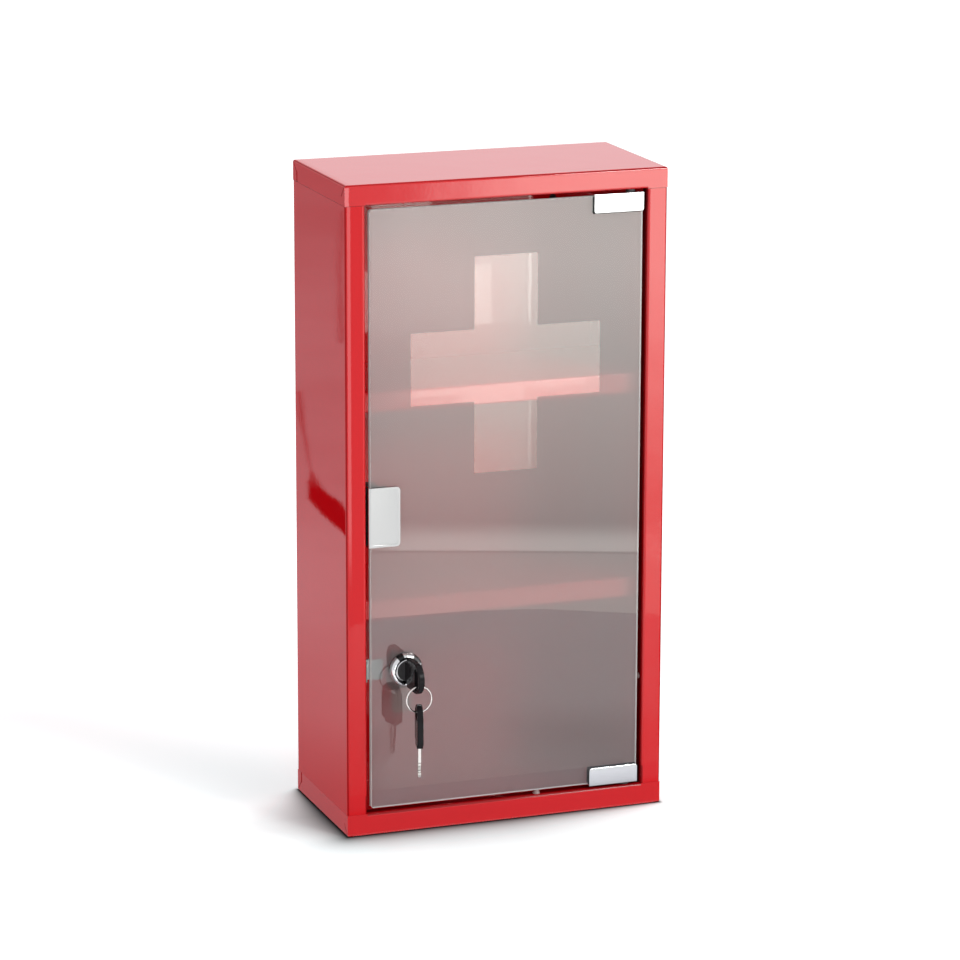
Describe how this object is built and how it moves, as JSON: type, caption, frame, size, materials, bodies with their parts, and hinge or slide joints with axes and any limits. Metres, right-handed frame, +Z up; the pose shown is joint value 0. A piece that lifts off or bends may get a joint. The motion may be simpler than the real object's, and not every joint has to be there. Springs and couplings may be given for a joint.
{
  "type": "lockable medicine cabinet",
  "caption": "Wall medicine cabinet of folded sheet steel with shelves, a frosted glass door with a clear cross, pivot hinges, a magnetic catch, a cam lock and keys on a ring.",
  "frame": {"origin": "centre of the carcase's underside", "axes": "+X towards the hinge side, +Y towards the wall, +Z up"},
  "size_m": [0.245, 0.16, 0.48],
  "materials": {
    "carcase_paint": "glossy powder coat, signal red",
    "shelf_paint": "glossy powder coat, signal red",
    "bush_nylon": "natural nylon",
    "catch_plastic": "black moulded plastic",
    "ferrite": "pressed ferrite",
    "pole_steel": "zinc-plated steel",
    "zinc_plate": "zinc-plated steel",
    "rivet_steel": "plated steel",
    "buffer_nylon": "translucent nylon",
    "door_glass": "toughened glass, sand-blasted behind apart from the clear cross",
    "satin_chrome": "satin chrome on zinc die-casting",
    "pad_plastic": "black soft plastic",
    "screw_steel": "plated steel",
    "pin_steel": "turned steel",
    "handle_chrome": "bright rim round a satin face",
    "lock_chrome": "polished chrome",
    "nut_steel": "nickel-plated",
    "plug_metal": "dark nickel",
    "cam_steel": "zinc-plated steel",
    "key_steel": "nickel-plated",
    "key_plastic": "black moulded plastic",
    "ring_steel": "nickel-plated spring wire"
  },
  "bodies": {
    "cabinet": {"top_cap": "carcase_paint", "bottom_tray": "carcase_paint", "left_side": "carcase_paint", "right_side": "carcase_paint", "back_panel": "carcase_paint", "upper_shelf": "shelf_paint", "lower_shelf": "shelf_paint", "pivot_bush_top": "bush_nylon", "pivot_bush_bottom": "bush_nylon", "catch_housing": "catch_plastic", "catch_magnet": "ferrite", "catch_poles": "pole_steel", "lock_keeper": "zinc_plate", "keeper_rivets": "rivet_steel", "edge_buffers": "buffer_nylon"},
    "door": {"door_glass": "door_glass", "hinge_clip_top": "satin_chrome", "hinge_clip_bottom": "satin_chrome", "hinge_pads": "pad_plastic", "clamp_screws": "screw_steel", "pivot_pin_top": "pin_steel", "pivot_pin_bottom": "pin_steel", "handle_clip": "handle_chrome", "handle_liner": "pad_plastic", "lock_housing": "lock_chrome", "lock_gaskets": "pad_plastic", "lock_nut": "nut_steel"},
    "lock_rotor": {"lock_plug": "plug_metal", "lock_cam": "cam_steel", "cam_screw": "screw_steel"},
    "key": {"key_blade": "key_steel", "key_bow": "key_plastic"},
    "ring": {"key_ring": "ring_steel"},
    "spare_key": {"spare_key_blade": "key_steel", "spare_key_bow": "key_plastic"}
  },
  "joints": [
    {"name": "door_swing", "type": "hinge", "parent": "cabinet", "child": "door", "pos_m": [0.096, -0.054, 0.24], "axis": [0, 0, 1], "range_deg": [0, 110]},
    {"name": "lock_turn", "type": "hinge", "parent": "door", "child": "lock_rotor", "pos_m": [-0.0775, -0.05, 0.123], "axis": [0, 1, 0], "range_deg": [0, 90]},
    {"name": "key_draw", "type": "slide", "parent": "lock_rotor", "child": "key", "axis": [0, -1, 0], "range_m": [0, 0.026]},
    {"name": "ring_hang", "type": "hinge", "parent": "key", "child": "ring", "pos_m": [-0.0775, -0.0887, 0.11456], "axis": [0, 1, 0], "range_deg": [-90, 0]},
    {"name": "spare_key_swing", "type": "hinge", "parent": "ring", "child": "spare_key", "pos_m": [-0.0775, -0.0887, 0.09896], "axis": [-1, 0, 0], "range_deg": [-20, 60]}
  ],
  "couplings": [
    {"joint": "ring_hang", "follows": "lock_turn", "ratio": -1}
  ]
}
